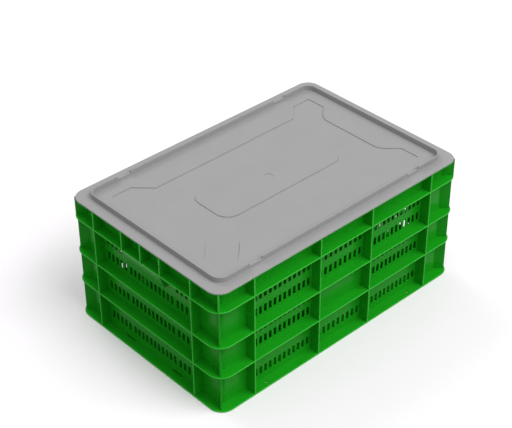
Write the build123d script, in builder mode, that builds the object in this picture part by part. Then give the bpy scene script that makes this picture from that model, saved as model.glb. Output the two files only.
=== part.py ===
from build123d import *

import os

# Stacking transport crate with a lift-off lid.
# Millimetres. X runs along the long side, Y across it, Z up. The origin is the
# middle of the footprint on the surface the crate stands on.

# --- overall sizes -----------------------------------------------------------
CRATE_LENGTH = 600.0  # outer edge of the shelves, long way
CRATE_WIDTH = 400.0  # outer edge of the shelves, short way
BODY_HEIGHT = 257.0  # floor surface to the top of the crate body
CORNER_RADIUS = 28.0  # shelf corner, seen from above

# --- crate shell -------------------------------------------------------------
WALL_INSET = 21.0  # outer shelf edge to the outer face of the wall
WALL_THICKNESS = 2.5
WALL_CORNER_RADIUS = 10.0
CORNER_POST_LEG = 14.0  # straight reach of the moulded corner along each wall
STACKING_GAP = 1.0  # room left over the lid's ridge in the recess under the floor
FLOOR_THICKNESS = 3.0

# --- horizontal shelves round the body --------------------------------------
SHELF_THICKNESS = 3.0
LOWER_SHELF_LEVEL = 78.2  # mid-height of each shelf
MIDDLE_SHELF_LEVEL = 144.6
UPPER_SHELF_LEVEL = 220.1
BASE_RING_THICKNESS = 3.0
RIM_RING_THICKNESS = 3.0
RIM_RING_SETBACK = 3.2  # the top ring stands this far inside the shelf edge

# --- vertical ribs -----------------------------------------------------------
RIB_THICKNESS = 3.2
LONG_RIB_INNER = 64.0  # rib centres from the middle of the long side
LONG_RIB_OUTER_INSET = 81.0  # outer rib centres from the end of the shelf
END_RIB_INSET = 70.0  # rib centres on the ends, from the side of the shelf
SHORT_RIB_OFFSET = 51.0  # outer two of the three ribs over each hand-hold
CORNER_RIB_SETBACK = 2.5  # corner rib behind the shelf edge, below the top band

# --- ventilation slots -------------------------------------------------------
SLOT_WIDTH = 6.2
SLOT_HEIGHT = 17.4
SLOT_ABOVE_BASE = 16.0  # first row over the standing surface
SLOT_ABOVE_SHELF = 5.6  # first row over the top face of a shelf
ROW_SPACING_LOWER = 40.5  # second row over the first, in each band of cells
ROW_SPACING_MIDDLE = 30.6
ROW_SPACING_UPPER = 33.6
SLOT_TO_RIB = 8.4  # least distance from a rib's centre to a slot's, long sides
SIDE_BAY_PITCH = 11.4
MIDDLE_BAY_PITCH = 12.35
END_SIDE_SLOTS = 5
END_SIDE_PITCH = 12.0
END_SIDE_TO_RIB = 11.5  # rib centre to the first slot of each outer group
END_MIDDLE_PITCH = 11.1
END_GROUP_GAP = 14.8  # least distance between slot centres of two groups

# --- floor grid --------------------------------------------------------------
FLOOR_SLOT_LENGTH = 32.0
FLOOR_SLOT_WIDTH = 6.0
FLOOR_SLOT_PITCH_X = 42.0
FLOOR_SLOT_PITCH_Y = 15.0
FLOOR_SLOT_MARGIN = 16.0  # solid border kept along the walls

# --- small openings in the base ring ----------------------------------------
DRAIN_DIAMETER = 5.0
DRAIN_OFFSET = 184.0
DRAIN_INSET = 10.0
BASE_SLOT_LENGTH = 26.5
BASE_SLOT_WIDTH = 3.0
BASE_SLOT_OFFSET = 65.7
BASE_SLOT_GAP = 2.0  # slot edge to the wall

# --- hand-hold hoods on the ends --------------------------------------------
HOOD_HEIGHT = 28.6
HOOD_TAPER = 10.0  # how far the hood's lower edge stands behind its upper edge
HOOD_THICKNESS = 2.5
HOOD_CHEEK_OFFSET = 48.4  # cheek centres from the middle of the end

# --- lid ---------------------------------------------------------------------
LID_THICKNESS = 2.5
LID_SETBACK = 2.2  # lid edge inside the shelf edge
LID_EDGE_ROUND = 1.0
RIDGE_CLEARANCE = 0.7  # ridge to the inside of the walls of a crate stacked on it
RIDGE_THICKNESS = 2.8
RIDGE_HEIGHT = 10.5
RIDGE_RADIUS = 20.0
NOTCH_OFFSET = 193.0
NOTCH_WIDTH = 28.5
NOTCH_DEPTH = 5.0
FIELD_INSET_X = 55.5  # shelf edge plane to the sunken field's corner squares
FIELD_INSET_Y = 56.5
WAIST_INSET_X = 87.0  # shelf edge plane to the field between the squares
WAIST_INSET_Y = 88.5
SQUARE_INSET_X = 97.0  # shelf edge plane to the inner edges of the squares
SQUARE_INSET_Y = 98.0
NECK_INSET_Y = 134.0  # where each end of the waist begins to widen
NECK_STEP = 7.0
NECK_RISE = 13.0
FIELD_DEPTH = 1.6
PANEL_LENGTH = 292.0
PANEL_WIDTH = 100.0
PANEL_RADIUS = 28.0
PANEL_RAISE = 1.6
GATE_DIAMETER = 18.0
GATE_DEPTH = 0.8
LIP_CLEARANCE = 1.0
LIP_THICKNESS = 2.0
LIP_HEIGHT = 6.0

# --- places that follow from the sizes --------------------------------------
half_x = CRATE_LENGTH / 2
half_y = CRATE_WIDTH / 2
wall_x = half_x - WALL_INSET  # outer face of the end walls
wall_y = half_y - WALL_INSET
post_x = wall_x - WALL_CORNER_RADIUS - CORNER_POST_LEG
post_y = wall_y - WALL_CORNER_RADIUS - CORNER_POST_LEG
inner_radius = WALL_CORNER_RADIUS - WALL_THICKNESS
rim_bottom = BODY_HEIGHT - RIM_RING_THICKNESS
floor_level = RIDGE_HEIGHT + STACKING_GAP
floor_top = floor_level + FLOOR_THICKNESS
long_rib_outer = half_x - LONG_RIB_OUTER_INSET
end_rib = half_y - END_RIB_INSET
lid_top = BODY_HEIGHT + LID_THICKNESS
field_top = lid_top - FIELD_DEPTH

shelf_levels = {
    "lower": LOWER_SHELF_LEVEL,
    "middle": MIDDLE_SHELF_LEVEL,
    "upper": UPPER_SHELF_LEVEL,
}


def shelf_top(name):
    return shelf_levels[name] + SHELF_THICKNESS / 2


def shelf_bottom(name):
    return shelf_levels[name] - SHELF_THICKNESS / 2


# clear heights between the shelves, bottom to top
cells = [
    (BASE_RING_THICKNESS, shelf_bottom("lower")),
    (shelf_top("lower"), shelf_bottom("middle")),
    (shelf_top("middle"), shelf_bottom("upper")),
    (shelf_top("upper"), rim_bottom),
]

# lower edge of both slot rows in each band of cells
lower_rows = [SLOT_ABOVE_BASE, SLOT_ABOVE_BASE + ROW_SPACING_LOWER]
middle_first = shelf_top("lower") + SLOT_ABOVE_SHELF
middle_rows = [middle_first, middle_first + ROW_SPACING_MIDDLE]
upper_first = shelf_top("middle") + SLOT_ABOVE_SHELF
upper_rows = [upper_first, upper_first + ROW_SPACING_UPPER]

os.makedirs("parts", exist_ok=True)


def save(part, name):
    """Label a finished piece and write it to its own file."""
    part.label = name
    export_step(part, "parts/" + name + ".step")


def row_of(count, pitch, centre):
    """Centres of an evenly spaced row."""
    return [centre + (i - (count - 1) / 2) * pitch for i in range(count)]


def row_between(first, last, margin, pitch):
    """As many centres as fit between two places, in the middle of the space."""
    count = int((last - first - 2 * margin) // pitch) + 1
    return row_of(count, pitch, (first + last) / 2)


# --- walls -------------------------------------------------------------------
side_bays = row_between(LONG_RIB_INNER, long_rib_outer, SLOT_TO_RIB, SIDE_BAY_PITCH)
side_bays += [-x for x in side_bays]
middle_bay = row_between(-LONG_RIB_INNER, LONG_RIB_INNER, SLOT_TO_RIB, MIDDLE_BAY_PITCH)

long_slots = []
for bottom in lower_rows + middle_rows + upper_rows:
    long_slots += [(x, bottom + SLOT_HEIGHT / 2) for x in side_bays]
for bottom in lower_rows + upper_rows:
    long_slots += [(x, bottom + SLOT_HEIGHT / 2) for x in middle_bay]

end_outer = [end_rib - END_SIDE_TO_RIB - i * END_SIDE_PITCH for i in range(END_SIDE_SLOTS)]
end_inner = min(end_outer)
end_outer += [-y for y in end_outer]
end_middle = row_between(-end_inner, end_inner, END_GROUP_GAP, END_MIDDLE_PITCH)

end_slots = []
for bottom in lower_rows + middle_rows + upper_rows:
    end_slots += [(y, bottom + SLOT_HEIGHT / 2) for y in end_outer]
for bottom in lower_rows + middle_rows + upper_rows[:1]:
    end_slots += [(y, bottom + SLOT_HEIGHT / 2) for y in end_middle]


def wall_panel(plane, half_length, slots):
    """A flat wall standing on the plane, pierced by upright slots."""
    with BuildPart() as panel:
        with BuildSketch(plane):
            with Locations((0, BODY_HEIGHT / 2)):
                Rectangle(2 * half_length, BODY_HEIGHT)
            with Locations(*slots):
                Rectangle(SLOT_WIDTH, SLOT_HEIGHT, mode=Mode.SUBTRACT)
        extrude(amount=WALL_THICKNESS)
    return panel.part


wall_planes = {
    "wall_front": Plane((0, -wall_y, 0), x_dir=(-1, 0, 0), z_dir=(0, 1, 0)),
    "wall_back": Plane((0, wall_y, 0), x_dir=(1, 0, 0), z_dir=(0, -1, 0)),
    "wall_left": Plane((-wall_x, 0, 0), x_dir=(0, 1, 0), z_dir=(1, 0, 0)),
    "wall_right": Plane((wall_x, 0, 0), x_dir=(0, -1, 0), z_dir=(-1, 0, 0)),
}
for name in ("wall_front", "wall_back"):
    save(wall_panel(wall_planes[name], post_x, long_slots), name)
for name in ("wall_left", "wall_right"):
    save(wall_panel(wall_planes[name], post_y, end_slots), name)

# moulded corners that join the walls, named by their place seen from above
corners = {
    "front_left": (-1, -1),
    "front_right": (1, -1),
    "back_left": (-1, 1),
    "back_right": (1, 1),
}
for name, (sx, sy) in corners.items():
    with BuildPart() as corner_post:
        with BuildSketch(Plane.XY):
            RectangleRounded(2 * wall_x, 2 * wall_y, WALL_CORNER_RADIUS)
            RectangleRounded(
                2 * (wall_x - WALL_THICKNESS),
                2 * (wall_y - WALL_THICKNESS),
                inner_radius,
                mode=Mode.SUBTRACT,
            )
            with Locations((sx * (post_x + half_x) / 2, sy * (post_y + half_y) / 2)):
                Rectangle(half_x - post_x, half_y - post_y, mode=Mode.INTERSECT)
        extrude(amount=BODY_HEIGHT)
    save(corner_post.part, "corner_post_" + name)

# --- floor -------------------------------------------------------------------
floor_length = 2 * (wall_x - WALL_THICKNESS)
floor_width = 2 * (wall_y - WALL_THICKNESS)
free_x = floor_length - 2 * FLOOR_SLOT_MARGIN - FLOOR_SLOT_LENGTH
free_y = floor_width - 2 * FLOOR_SLOT_MARGIN - FLOOR_SLOT_WIDTH
slots_x = int(free_x // FLOOR_SLOT_PITCH_X) + 1
slots_y = int(free_y // FLOOR_SLOT_PITCH_Y) + 1
with BuildPart() as floor_grid:
    with BuildSketch(Plane.XY.offset(floor_level)):
        RectangleRounded(floor_length, floor_width, inner_radius)
        with GridLocations(FLOOR_SLOT_PITCH_X, FLOOR_SLOT_PITCH_Y, slots_x, slots_y):
            SlotOverall(FLOOR_SLOT_LENGTH, FLOOR_SLOT_WIDTH, mode=Mode.SUBTRACT)
    extrude(amount=FLOOR_THICKNESS)
save(floor_grid.part, "floor_grid")

# --- shelves round the body --------------------------------------------------


def body_ring(bottom, thickness, setback):
    """A flat ring round the walls, its edge set back from the shelf edge."""
    with BuildPart() as ring:
        with BuildSketch(Plane.XY.offset(bottom)):
            RectangleRounded(
                CRATE_LENGTH - 2 * setback,
                CRATE_WIDTH - 2 * setback,
                CORNER_RADIUS - setback,
            )
            RectangleRounded(2 * wall_x, 2 * wall_y, WALL_CORNER_RADIUS, mode=Mode.SUBTRACT)
        extrude(amount=thickness)
    return ring.part


for name in shelf_levels:
    ring = body_ring(shelf_bottom(name), SHELF_THICKNESS, 0)
    save(ring, "shelf_" + name)
save(body_ring(rim_bottom, RIM_RING_THICKNESS, RIM_RING_SETBACK), "rim_ring")

base_slot_x = wall_x + BASE_SLOT_GAP + BASE_SLOT_WIDTH / 2
with BuildPart() as base_ring:
    with BuildSketch(Plane.XY):
        RectangleRounded(CRATE_LENGTH, CRATE_WIDTH, CORNER_RADIUS)
        RectangleRounded(2 * wall_x, 2 * wall_y, WALL_CORNER_RADIUS, mode=Mode.SUBTRACT)
        with GridLocations(2 * DRAIN_OFFSET, 2 * (half_y - DRAIN_INSET), 2, 2):
            Circle(DRAIN_DIAMETER / 2, mode=Mode.SUBTRACT)
        with GridLocations(2 * base_slot_x, 2 * BASE_SLOT_OFFSET, 2, 2):
            Rectangle(BASE_SLOT_WIDTH, BASE_SLOT_LENGTH, mode=Mode.SUBTRACT)
    extrude(amount=BASE_RING_THICKNESS)
save(base_ring.part, "base_ring")

# --- vertical ribs -----------------------------------------------------------
# Each rib fills the cells between the rings. In the top band it also carries a
# tongue past the edge of the rim ring, up to the lid.


def straight_rib(sx, sy, offset, spans):
    """A rib square to one wall: sx or sy says which side, the other is zero."""
    size_out, size_tab = WALL_INSET, RIM_RING_SETBACK
    if sx:
        middle = (sx * (half_x - size_out / 2), offset)
        tab = (sx * (half_x - size_tab / 2), offset)
        plan, tab_plan = (size_out, RIB_THICKNESS), (size_tab, RIB_THICKNESS)
    else:
        middle = (offset, sy * (half_y - size_out / 2))
        tab = (offset, sy * (half_y - size_tab / 2))
        plan, tab_plan = (RIB_THICKNESS, size_out), (RIB_THICKNESS, size_tab)
    with BuildPart() as rib:
        for low, high in spans:
            with BuildSketch(Plane.XY.offset(low)):
                with Locations(middle):
                    Rectangle(*plan)
            extrude(amount=high - low)
        with BuildSketch(Plane.XY.offset(rim_bottom)):
            with Locations(tab):
                Rectangle(*tab_plan)
        extrude(amount=BODY_HEIGHT - rim_bottom)
    return rib.part


long_rib_places = [-long_rib_outer, -LONG_RIB_INNER, LONG_RIB_INNER, long_rib_outer]
for side, sy in (("front", -1), ("back", 1)):
    for number, place in enumerate(long_rib_places, 1):
        rib = straight_rib(0, sy, place, cells)
        save(rib, "rib_" + side + "_" + str(number))

short_rib_places = [-SHORT_RIB_OFFSET, 0, SHORT_RIB_OFFSET]
for side, sx in (("left", -1), ("right", 1)):
    for number, place in enumerate((-end_rib, end_rib), 1):
        rib = straight_rib(sx, 0, place, cells)
        save(rib, "rib_" + side + "_" + str(number))
    for number, place in enumerate(short_rib_places, 1):
        rib = straight_rib(sx, 0, place, cells[-1:])
        save(rib, "short_rib_" + side + "_" + str(number))


def diagonal_plan(sx, sy, level, outer_setback, inner_setback=None):
    """Plan of a corner rib, from the wall or an inner outline to the outer one."""
    turn = 45 if sx * sy > 0 else -45
    with BuildSketch(Plane.XY.offset(level)) as plan:
        with Locations(Location((sx * wall_x, sy * wall_y, 0), (0, 0, turn))):
            Rectangle(4 * WALL_INSET, RIB_THICKNESS)
        RectangleRounded(
            CRATE_LENGTH - 2 * outer_setback,
            CRATE_WIDTH - 2 * outer_setback,
            CORNER_RADIUS - outer_setback,
            mode=Mode.INTERSECT,
        )
        if inner_setback is None:
            RectangleRounded(2 * wall_x, 2 * wall_y, WALL_CORNER_RADIUS, mode=Mode.SUBTRACT)
        else:
            RectangleRounded(
                CRATE_LENGTH - 2 * inner_setback,
                CRATE_WIDTH - 2 * inner_setback,
                CORNER_RADIUS - inner_setback,
                mode=Mode.SUBTRACT,
            )
    return plan.sketch


for name, (sx, sy) in corners.items():
    with BuildPart() as corner_rib:
        for low, high in cells[:-1]:
            extrude(diagonal_plan(sx, sy, low, CORNER_RIB_SETBACK), amount=high - low)
        low, high = cells[-1]
        extrude(diagonal_plan(sx, sy, low, 0), amount=high - low)
        tongue = diagonal_plan(sx, sy, rim_bottom, 0, RIM_RING_SETBACK)
        extrude(tongue, amount=BODY_HEIGHT - rim_bottom)
    save(corner_rib.part, "corner_rib_" + name)

# --- hand-hold hoods ---------------------------------------------------------
# Under the upper shelf on each end: a sloping face between two cheeks, open
# underneath.
hood_top = shelf_bottom("upper")
hood_bottom = hood_top - HOOD_HEIGHT
hood_foot = half_x - HOOD_TAPER
face_half_width = HOOD_CHEEK_OFFSET - RIB_THICKNESS / 2

for side, sx in (("left", -1), ("right", 1)):
    with BuildPart() as hood_face:
        with BuildSketch(Plane.XZ):
            with BuildLine():
                Polyline(
                    (sx * half_x, hood_top),
                    (sx * hood_foot, hood_bottom),
                    (sx * (hood_foot - HOOD_THICKNESS), hood_bottom),
                    (sx * (half_x - HOOD_THICKNESS), hood_top),
                    close=True,
                )
            make_face()
        extrude(amount=face_half_width, both=True)
    save(hood_face.part, "hood_face_" + side)
    for number, place in enumerate((-HOOD_CHEEK_OFFSET, HOOD_CHEEK_OFFSET), 1):
        with BuildPart() as hood_cheek:
            with BuildSketch(Plane.XZ.offset(-place)):
                with BuildLine():
                    Polyline(
                        (sx * wall_x, hood_top),
                        (sx * half_x, hood_top),
                        (sx * hood_foot, hood_bottom),
                        (sx * wall_x, hood_bottom),
                        close=True,
                    )
                make_face()
            extrude(amount=RIB_THICKNESS / 2, both=True)
        save(hood_cheek.part, "hood_cheek_" + side + "_" + str(number))

# --- lid ---------------------------------------------------------------------
square_x, square_y = half_x - SQUARE_INSET_X, half_y - SQUARE_INSET_Y
field_x, field_y = half_x - FIELD_INSET_X, half_y - FIELD_INSET_Y
waist_x, waist_y = half_x - WAIST_INSET_X, half_y - WAIST_INSET_Y
neck_y = half_y - NECK_INSET_Y
quarter = [
    (waist_x, neck_y),
    (waist_x + NECK_STEP, neck_y + NECK_RISE),
    (field_x, square_y),
    (field_x, field_y),
    (square_x, field_y),
    (square_x - (field_y - waist_y), waist_y),
]
field_outline = quarter + [(-x, y) for x, y in reversed(quarter)]
field_outline += [(-x, -y) for x, y in quarter]
field_outline += [(x, -y) for x, y in reversed(quarter)]
lid_length = CRATE_LENGTH - 2 * LID_SETBACK
lid_width = CRATE_WIDTH - 2 * LID_SETBACK


def field_plan(level, spread):
    """The sunken field's outline, pushed out by spread."""
    with BuildSketch(Plane.XY.offset(level)) as plan:
        with BuildLine():
            Polyline(*field_outline, close=True)
        make_face()
        if spread:
            offset(amount=spread, kind=Kind.INTERSECTION)
    return plan.sketch


with BuildPart() as lid_sheet:
    with BuildSketch(Plane.XY.offset(BODY_HEIGHT)):
        RectangleRounded(lid_length, lid_width, CORNER_RADIUS - LID_SETBACK)
    extrude(amount=LID_THICKNESS)
    level_edges = lid_sheet.edges().group_by(Axis.Z)
    fillet(level_edges[0] + level_edges[-1], LID_EDGE_ROUND)
    extrude(field_plan(field_top - LID_THICKNESS, LID_THICKNESS / 2), amount=FIELD_DEPTH)
    extrude(field_plan(field_top, 0), amount=FIELD_DEPTH, mode=Mode.SUBTRACT)
save(lid_sheet.part, "lid_sheet")

with BuildPart() as centre_panel:
    with BuildSketch(Plane.XY.offset(field_top)):
        RectangleRounded(PANEL_LENGTH, PANEL_WIDTH, PANEL_RADIUS)
    extrude(amount=PANEL_RAISE)
    with BuildSketch(Plane.XY.offset(field_top + PANEL_RAISE - GATE_DEPTH)):
        Circle(GATE_DIAMETER / 2)
    extrude(amount=GATE_DEPTH, mode=Mode.SUBTRACT)
save(centre_panel.part, "lid_centre_panel")

ridge_length = floor_length - 2 * RIDGE_CLEARANCE
ridge_width = floor_width - 2 * RIDGE_CLEARANCE
with BuildPart() as stacking_ridge:
    with BuildSketch(Plane.XY.offset(lid_top)):
        RectangleRounded(ridge_length, ridge_width, RIDGE_RADIUS)
        RectangleRounded(
            ridge_length - 2 * RIDGE_THICKNESS,
            ridge_width - 2 * RIDGE_THICKNESS,
            RIDGE_RADIUS - RIDGE_THICKNESS,
            mode=Mode.SUBTRACT,
        )
    extrude(amount=RIDGE_HEIGHT)
    with BuildSketch(Plane.XY.offset(lid_top + RIDGE_HEIGHT - NOTCH_DEPTH)):
        with GridLocations(2 * NOTCH_OFFSET, ridge_width - RIDGE_THICKNESS, 2, 2):
            Rectangle(NOTCH_WIDTH, 2 * RIDGE_THICKNESS)
    extrude(amount=NOTCH_DEPTH, mode=Mode.SUBTRACT)
save(stacking_ridge.part, "stacking_ridge")

lip_length = floor_length - 2 * LIP_CLEARANCE
lip_width = floor_width - 2 * LIP_CLEARANCE
lip_radius = inner_radius - LIP_CLEARANCE
with BuildPart() as locating_lip:
    with BuildSketch(Plane.XY.offset(BODY_HEIGHT - LIP_HEIGHT)):
        RectangleRounded(lip_length, lip_width, lip_radius)
        RectangleRounded(
            lip_length - 2 * LIP_THICKNESS,
            lip_width - 2 * LIP_THICKNESS,
            lip_radius - LIP_THICKNESS,
            mode=Mode.SUBTRACT,
        )
    extrude(amount=LIP_HEIGHT)
save(locating_lip.part, "locating_lip")
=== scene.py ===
"""Stacking transport crate with a lift-off lid: its visible pieces, finishes and studio."""

from __future__ import annotations

import logging
import math
from dataclasses import dataclass
from enum import Enum
from typing import Any, Iterable, Sequence

import bmesh
import bpy
from mathutils import Euler, Matrix, Vector
from mathutils.geometry import tessellate_polygon


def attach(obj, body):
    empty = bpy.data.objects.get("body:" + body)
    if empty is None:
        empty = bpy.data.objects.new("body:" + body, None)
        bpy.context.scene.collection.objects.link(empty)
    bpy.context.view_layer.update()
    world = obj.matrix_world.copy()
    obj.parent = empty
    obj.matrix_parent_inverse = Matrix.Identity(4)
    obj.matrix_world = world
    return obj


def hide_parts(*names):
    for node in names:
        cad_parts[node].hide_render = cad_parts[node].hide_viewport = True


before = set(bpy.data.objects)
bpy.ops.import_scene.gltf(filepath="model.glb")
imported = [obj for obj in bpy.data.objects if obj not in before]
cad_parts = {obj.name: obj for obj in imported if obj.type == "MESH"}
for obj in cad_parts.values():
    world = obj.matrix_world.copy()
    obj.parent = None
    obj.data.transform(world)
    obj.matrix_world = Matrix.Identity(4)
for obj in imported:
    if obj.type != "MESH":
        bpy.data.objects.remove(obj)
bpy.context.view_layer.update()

LOG = logging.getLogger("crate")
MM = 0.001  # millimetres to scene units
WELD = 0.002  # points closer than this, in millimetres, become one
SEAM = 0.01  # the same where the parts of a panel meet
ROOT = 0.15  # how far the foot of a fillet sinks into its wall, in millimetres
SHARP_ANGLE = 40.0  # edges stay sharp over this angle, in degrees
QUARTERS = ((1, 1), (-1, 1), (-1, -1), (1, -1))  # signs of the corners, counter-clockwise

Point = tuple[float, float]
Triple = tuple[float, float, float]
Place = tuple[float, float, float, float]


class Plastic(Enum):
    """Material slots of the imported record."""

    GREEN = "crate_green"
    GREY = "lid_grey"


class Body(Enum):
    """The two mouldings that move apart."""

    CRATE = "crate"
    LID = "lid"

    @property
    def plastic(self) -> Plastic:
        """What the moulding is made of."""
        return Plastic.GREEN if self is Body.CRATE else Plastic.GREY


class Side(Enum):
    """Sides of the crate: the turn about Z that takes +Y to the side's outward direction."""

    FRONT = math.pi
    BACK = 0.0
    LEFT = math.pi / 2
    RIGHT = -math.pi / 2

    @property
    def along_x(self) -> bool:
        """Whether the wall on this side runs along X."""
        return self in (Side.FRONT, Side.BACK)

    @property
    def label(self) -> str:
        """The side's name as the model's nodes spell it."""
        return self.name.lower()


# --- node trees ----------------------------------------------------------------------


@dataclass(frozen=True)
class NodeMaker:
    """Adds nodes to one shader or geometry tree."""

    tree: bpy.types.NodeTree

    def add(
        self,
        kind: str,
        settings: dict[str, Any] | None = None,
        inputs: dict[str | int, Any] | None = None,
    ) -> bpy.types.Node:
        """Add one node.

        Args:
            kind: The node's type name.
            settings: Properties set before any socket is touched.
            inputs: Values or source sockets by input name or number.

        Returns:
            The new node.
        """
        made = self.tree.nodes.new(kind)
        for key, value in (settings or {}).items():
            setattr(made, key, value)
        for key, value in (inputs or {}).items():
            source = value.socket if isinstance(value, Value) else value
            if isinstance(source, bpy.types.NodeSocket):
                self.tree.links.new(source, made.inputs[key])
            else:
                made.inputs[key].default_value = source
        return made

    def value(self, node: bpy.types.Node, output: str | int = 0) -> "Value":
        """Wrap one output of a node for arithmetic."""
        return Value(self, node.outputs[output])


@dataclass(frozen=True)
class Value:
    """A number socket that Python operators can work on."""

    maker: NodeMaker
    socket: bpy.types.NodeSocket

    def _math(self, operation: str, first: Any, second: Any) -> "Value":
        """Add one Math node and wrap its result."""
        node = self.maker.add("ShaderNodeMath", {"operation": operation}, {0: first, 1: second})
        return Value(self.maker, node.outputs[0])

    def __add__(self, other: Any) -> "Value":
        """Sum."""
        return self._math("ADD", self, other)

    __radd__ = __add__

    def __mul__(self, other: Any) -> "Value":
        """Product."""
        return self._math("MULTIPLY", self, other)

    __rmul__ = __mul__


def fresh_maker(owner: bpy.types.Material | bpy.types.World) -> NodeMaker:
    """Empty the owner's node tree and give its maker."""
    owner.use_nodes = True
    owner.node_tree.nodes.clear()
    return NodeMaker(owner.node_tree)


# --- finishes ------------------------------------------------------------------------


@dataclass(frozen=True)
class MouldedPlastic:
    """Satin injection-moulded plastic with a fine spark-eroded grain.

    Attributes:
        slot: The record's material slot.
        deep: Colour where the pigment lies thick.
        light: Colour where it lies thin.
        roughness: Middle of the gloss range.
        rubbed: Painted highlight, a brighter green laid on the thin outermost edges where they catch
            light.
        outline: Half length, half width and corner radius of those edges, in millimetres.
        rubbed_depth: How far in from the outline the painted highlight fades out, in millimetres.
        rubbed_full: How far in it keeps its full strength, in millimetres.
        rubbed_least: The painted highlight's strength where the specks are darkest.
        rubbed_gain: What the lightest specks add to it.
        shine: Strength of the mirror reflection, half being plain glassy plastic.
        gloss_spread: How far the gloss strays over a face.
        flow_size: Width of the pigment's clouds, in millimetres.
        speck_size: Width of its specks, in millimetres.
        speck_part: Part that the specks have in the mixing, beside the clouds.
        wave_size: Width of the slow waves that sinking leaves, in millimetres.
        waviness: Height of those waves, in millimetres.
        grain_size: Width of the mould's grain, in millimetres.
        grain_depth: Height of that grain, in millimetres.
        relief: Strength of grain and waves.
        index: Index of refraction.
    """

    slot: Plastic
    deep: Triple
    light: Triple
    roughness: float
    rubbed: Triple | None = None
    outline: Triple | None = None
    rubbed_depth: float = 1.3
    rubbed_full: float = 0.2
    rubbed_least: float = 0.75
    rubbed_gain: float = 0.4
    shine: float = 0.08
    gloss_spread: float = 0.07
    flow_size: float = 55.0
    speck_size: float = 55.0 / 12
    speck_part: float = 0.3
    wave_size: float = 77.0
    waviness: float = 0.10
    grain_size: float = 0.7
    grain_depth: float = 0.006
    relief: float = 0.6
    index: float = 1.5

    def _noise(self, maker: NodeMaker, place: Any, size: float, detail: float) -> Value:
        """Noise whose features are about one size across, in millimetres."""
        inputs = {"Vector": place, "Scale": 1 / (size * MM), "Detail": detail, "Roughness": 0.55}
        return maker.value(maker.add("ShaderNodeTexNoise", inputs=inputs))

    def _blend(self, maker: NodeMaker, part: Value, first: Any, second: Triple) -> Any:
        """Socket of the first colour with a part of the second mixed in."""
        inputs = {0: part, 6: first, 7: (*second, 1.0)}
        return maker.add("ShaderNodeMix", {"data_type": "RGBA"}, inputs).outputs[2]

    def _bump(self, maker: NodeMaker, height: Value, depth: float, **under: Any) -> Any:
        """Socket of a normal with relief of one depth, in millimetres."""
        inputs = {"Strength": self.relief, "Distance": depth * MM, "Height": height, **under}
        return maker.add("ShaderNodeBump", inputs=inputs).outputs[0]

    def _rubbed_mask(self, maker: NodeMaker, place: Any) -> Value:
        """Mask of the painted highlight: one on the outermost edges, falling to nothing just inside
        them.

        Args:
            maker: Adds the nodes.
            place: The point's place.

        Returns:
            The mask, for a finish that has an outline.
        """
        half_x, half_y, radius = (size * MM for size in self.outline)
        core = (half_x - radius, half_y - radius, 1.0)
        reach = place
        for operation, second in (("ABSOLUTE", {}), ("SUBTRACT", {1: core}), ("MAXIMUM", {})):
            step = maker.add("ShaderNodeVectorMath", {"operation": operation}, {0: reach, **second})
            reach = step.outputs[0]
        far = maker.add("ShaderNodeVectorMath", {"operation": "LENGTH"}, {0: reach})
        fade = {
            "Value": far.outputs["Value"],
            "From Min": radius - self.rubbed_depth * MM,
            "From Max": radius - self.rubbed_full * MM,
        }
        return maker.value(maker.add("ShaderNodeMapRange", inputs=fade))

    def build(self) -> bpy.types.Material:
        """Make the material.

        Returns:
            A material whose colour, gloss and bump vary over the surface.
        """
        material = bpy.data.materials.new(self.slot.value)
        maker = fresh_maker(material)
        place = maker.add("ShaderNodeTexCoord").outputs["Object"]
        clouds = self._noise(maker, place, self.flow_size, 3.0)
        specks = self._noise(maker, place, self.speck_size, 2.0)
        grain = self._noise(maker, place, self.grain_size, 1.0)
        waves = self._noise(maker, place, self.wave_size, 0.0)
        thin = clouds * (1 - self.speck_part) + specks * self.speck_part
        colour = self._blend(maker, thin, (*self.deep, 1.0), self.light)
        # Painted highlight: a brighter green on the outermost edges, where they catch light, with
        # speckled strength.
        if self.rubbed:
            strength = self.rubbed_least + specks * self.rubbed_gain
            edges = self._rubbed_mask(maker, place) * strength
            colour = self._blend(maker, edges, colour, self.rubbed)
        fine = self._bump(maker, grain, self.grain_depth)
        skin = maker.add(
            "ShaderNodeBsdfPrincipled",
            inputs={
                "Base Color": colour,
                "Roughness": self.roughness - self.gloss_spread + (clouds + specks) * self.gloss_spread,
                "IOR": self.index,
                "Specular IOR Level": self.shine,
                "Normal": self._bump(maker, waves, self.waviness, Normal=fine),
            },
        )
        maker.add("ShaderNodeOutputMaterial", inputs={"Surface": skin.outputs[0]})
        return material


GREEN_FINISH = MouldedPlastic(
    Plastic.GREEN,
    deep=(0.008, 0.328, 0.008),
    light=(0.015, 0.397, 0.015),
    roughness=0.25,
    # painted highlight colour for the outermost edges
    rubbed=(0.040, 0.540, 0.040),
    outline=(300.0, 200.0, 28.0),
)
GREY_FINISH = MouldedPlastic(
    Plastic.GREY, deep=(0.336, 0.336, 0.336), light=(0.377, 0.377, 0.377), roughness=0.38
)


# --- outlines and shells -------------------------------------------------------------


@dataclass(frozen=True)
class RoundedBox:
    """A rounded rectangle seen from above, in millimetres.

    Attributes:
        length: Size along X.
        width: Size along Y.
        radius: Corner radius.
        centre: Middle of the rectangle.
        steps: Segments in each corner.
    """

    length: float
    width: float
    radius: float
    centre: Point = (0.0, 0.0)
    steps: int = 8

    def points(self, grow: float = 0.0) -> list[Point]:
        """Outline, counter-clockwise.

        Args:
            grow: How far the outline is pushed outwards.

        Returns:
            Its points, the same number for any value of grow.
        """
        radius = self.radius + grow
        reach_x, reach_y = self.length / 2 - self.radius, self.width / 2 - self.radius
        made = []
        for corner, (sx, sy) in enumerate(QUARTERS):
            for step in range(self.steps + 1):
                turn = math.pi / 2 * (corner + step / self.steps)
                made.append(
                    (
                        self.centre[0] + sx * reach_x + radius * math.cos(turn),
                        self.centre[1] + sy * reach_y + radius * math.sin(turn),
                    )
                )
        return made


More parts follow.
